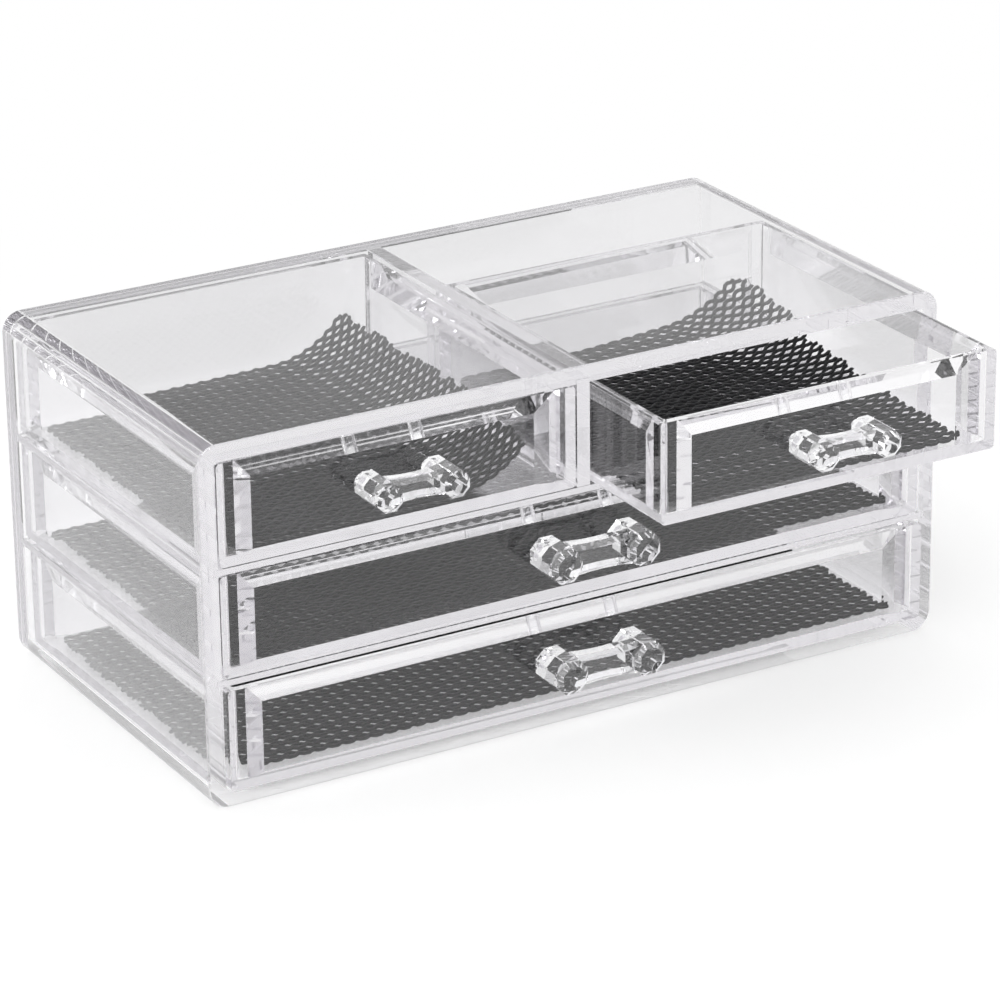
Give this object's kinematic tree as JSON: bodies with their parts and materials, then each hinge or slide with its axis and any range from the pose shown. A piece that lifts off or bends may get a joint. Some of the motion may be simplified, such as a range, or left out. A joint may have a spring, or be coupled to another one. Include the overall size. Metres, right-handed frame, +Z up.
{
  "type": "acrylic makeup organizer drawers",
  "caption": "Clear rounded desktop case with small side-by-side drawers above full-width ones, bone-shaped handles and black mesh liners.",
  "frame": {"origin": "centre of the underside of the case", "axes": "+Z up, +X to the right seen from the front, the drawers open towards -Y"},
  "size_m": [0.24, 0.1765, 0.107],
  "materials": {
    "case_acrylic": "clear polished plastic",
    "drawer_acrylic": "clear polished plastic",
    "handle_acrylic": "clear faceted plastic",
    "liner_mesh": "black knitted plastic mesh"
  },
  "bodies": {
    "case": {"case_shell": "case_acrylic", "back_panel": "case_acrylic", "upper_shelf": "case_acrylic", "lower_shelf": "case_acrylic", "top_divider": "case_acrylic"},
    "top_left_drawer": {"drawer_top_left": "drawer_acrylic", "handle_top_left": "handle_acrylic", "liner_top_left": "liner_mesh"},
    "top_right_drawer": {"drawer_top_right": "drawer_acrylic", "handle_top_right": "handle_acrylic", "liner_top_right": "liner_mesh"},
    "middle_drawer": {"drawer_middle": "drawer_acrylic", "handle_middle": "handle_acrylic", "liner_middle": "liner_mesh"},
    "bottom_drawer": {"drawer_bottom": "drawer_acrylic", "handle_bottom": "handle_acrylic", "liner_bottom": "liner_mesh"}
  },
  "joints": [
    {"name": "top_left_slide", "type": "slide", "parent": "case", "child": "top_left_drawer", "axis": [0, -1, 0], "range_m": [0, 0.09]},
    {"name": "top_right_slide", "type": "slide", "parent": "case", "child": "top_right_drawer", "axis": [0, -1, 0], "range_m": [-0.037, 0.053]},
    {"name": "middle_slide", "type": "slide", "parent": "case", "child": "middle_drawer", "axis": [0, -1, 0], "range_m": [0, 0.09]},
    {"name": "bottom_slide", "type": "slide", "parent": "case", "child": "bottom_drawer", "axis": [0, -1, 0], "range_m": [-0.0025, 0.0875]}
  ]
}
